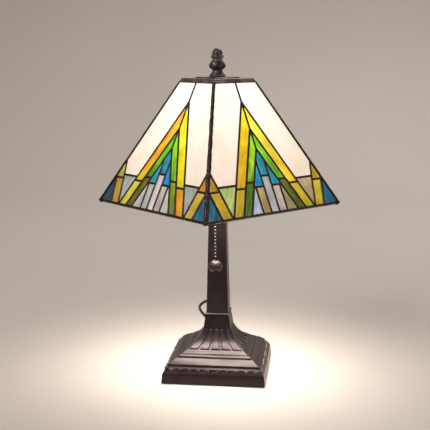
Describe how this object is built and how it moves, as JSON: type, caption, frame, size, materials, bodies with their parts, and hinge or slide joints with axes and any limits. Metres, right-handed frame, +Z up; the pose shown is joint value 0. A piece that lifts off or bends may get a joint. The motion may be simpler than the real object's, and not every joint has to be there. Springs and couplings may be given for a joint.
{
  "type": "stained glass table lamp",
  "caption": "Small table lamp with a square pyramid shade of leaded coloured glass on a tapered square column, pull-chain socket, finial and mains lead.",
  "frame": {"origin": "middle of the base's underside", "axes": "+Z up, -Y towards the front of the base, where the pull chain hangs; the lead leaves towards +Y"},
  "size_m": [0.29, 0.29, 0.3883],
  "materials": {
    "bronze_casting": "oil-rubbed bronze paint over a zinc casting, satin",
    "felt": "pressed felt",
    "zinc_plate": "zinc plated steel",
    "brass_shell": "satin brass",
    "harp_wire": "bronze plated steel wire",
    "cardboard": "fibre insulating sleeve",
    "phenolic": "moulded phenolic",
    "aluminium_cap": "rolled aluminium screw cap",
    "bulb_glass": "frosted, lit",
    "chain_metal": "plated ball chain",
    "bronze_knob": "bronze plated ball, satin",
    "patina_lead": "solder with dark patina, semi-gloss",
    "finial_bronze": "cast, dark bronze with rubbed relief",
    "cord_vinyl": "brown vinyl",
    "plug_vinyl": "moulded brown vinyl",
    "plug_brass": "stamped brass",
    "white_glass": "streaky opalescent sheet, glossy",
    "amber_glass": "streaky opalescent sheet, glossy",
    "green_glass": "streaky opalescent sheet, glossy",
    "blue_glass": "streaky opalescent sheet, glossy",
    "streaky_glass": "streaky opalescent sheet, glossy"
  },
  "bodies": {
    "stand": {"base_casting": "bronze_casting", "base_felt": "felt", "column": "bronze_casting", "column_cap": "bronze_casting", "threaded_rod": "zinc_plate", "rod_washer": "zinc_plate", "rod_nuts": "zinc_plate", "socket_cap": "brass_shell", "socket_shell": "brass_shell", "socket_liner": "cardboard", "socket_body": "phenolic", "socket_screw_shell": "brass_shell", "socket_contact": "brass_shell", "chain_bell": "brass_shell", "harp_saddle": "harp_wire", "harp": "harp_wire", "harp_ferrules": "harp_wire", "harp_stud": "brass_shell", "strain_relief": "plug_vinyl", "power_cord": "cord_vinyl", "inner_cord": "cord_vinyl", "cord_coil": "cord_vinyl", "cord_tie": "phenolic", "plug_body": "plug_vinyl", "plug_blades": "plug_brass"},
    "bulb_base": {"bulb_cap": "aluminium_cap", "bulb_insulator": "phenolic", "bulb_tip": "brass_shell"},
    "bulb": {"bulb_glass": "bulb_glass"},
    "chain_head": {"chain_link": "chain_metal"},
    "pull": {"pull_chain": "chain_metal", "pull_knob": "bronze_knob"},
    "shade": {"lead_lines": "patina_lead", "corner_beads": "patina_lead", "rim_beads": "patina_lead", "shade_cap": "bronze_casting", "clamp_plate": "bronze_casting", "white_glass_left": "white_glass", "white_glass_right": "white_glass", "white_glass_back_right": "white_glass", "white_glass_back_left": "white_glass", "amber_glass_left": "amber_glass", "amber_glass_right": "amber_glass", "amber_glass_back_right": "amber_glass", "amber_glass_back_left": "amber_glass", "green_glass_left": "green_glass", "green_glass_right": "green_glass", "green_glass_back_right": "green_glass", "green_glass_back_left": "green_glass", "blue_glass_left": "blue_glass", "blue_glass_right": "blue_glass", "blue_glass_back_right": "blue_glass", "blue_glass_back_left": "blue_glass", "streaky_glass_left": "streaky_glass", "streaky_glass_right": "streaky_glass", "streaky_glass_back_right": "streaky_glass", "streaky_glass_back_left": "streaky_glass"},
    "finial_base": {"finial_insert": "brass_shell"},
    "finial": {"finial": "finial_bronze"}
  },
  "joints": [
    {"name": "shade_swivel", "type": "hinge", "parent": "stand", "child": "shade", "pos_m": [0, 0, 0.3527], "axis": [0, 0, 1], "continuous": true},
    {"name": "finial_rise", "type": "slide", "parent": "stand", "child": "finial_base", "axis": [0, 0, 1], "range_m": [0, 0.0075]},
    {"name": "finial_turn", "type": "hinge", "parent": "finial_base", "child": "finial", "pos_m": [0, 0, 0.36], "axis": [0, 0, 1], "range_deg": [0, 2880]},
    {"name": "bulb_rise", "type": "slide", "parent": "stand", "child": "bulb_base", "axis": [0, 0, 1], "range_m": [0, 0.0099]},
    {"name": "bulb_turn", "type": "hinge", "parent": "bulb_base", "child": "bulb", "pos_m": [0, 0, 0.3], "axis": [0, 0, 1], "range_deg": [0, 990]},
    {"name": "chain_pull", "type": "slide", "parent": "stand", "child": "chain_head", "axis": [0, 0, -1], "range_m": [0, 0.0055], "stiffness_N_per_m": 150, "springref_m": -0.01},
    {"name": "chain_swing", "type": "hinge", "parent": "chain_head", "child": "pull", "pos_m": [0, -0.028, 0.22], "axis": [0, 1, 0], "range_deg": [-30, 30]}
  ],
  "couplings": [
    {"joint": "bulb_turn", "follows": "bulb_rise", "rad_per_m": 1731.4},
    {"joint": "finial_turn", "follows": "finial_rise", "rad_per_m": 6679}
  ]
}
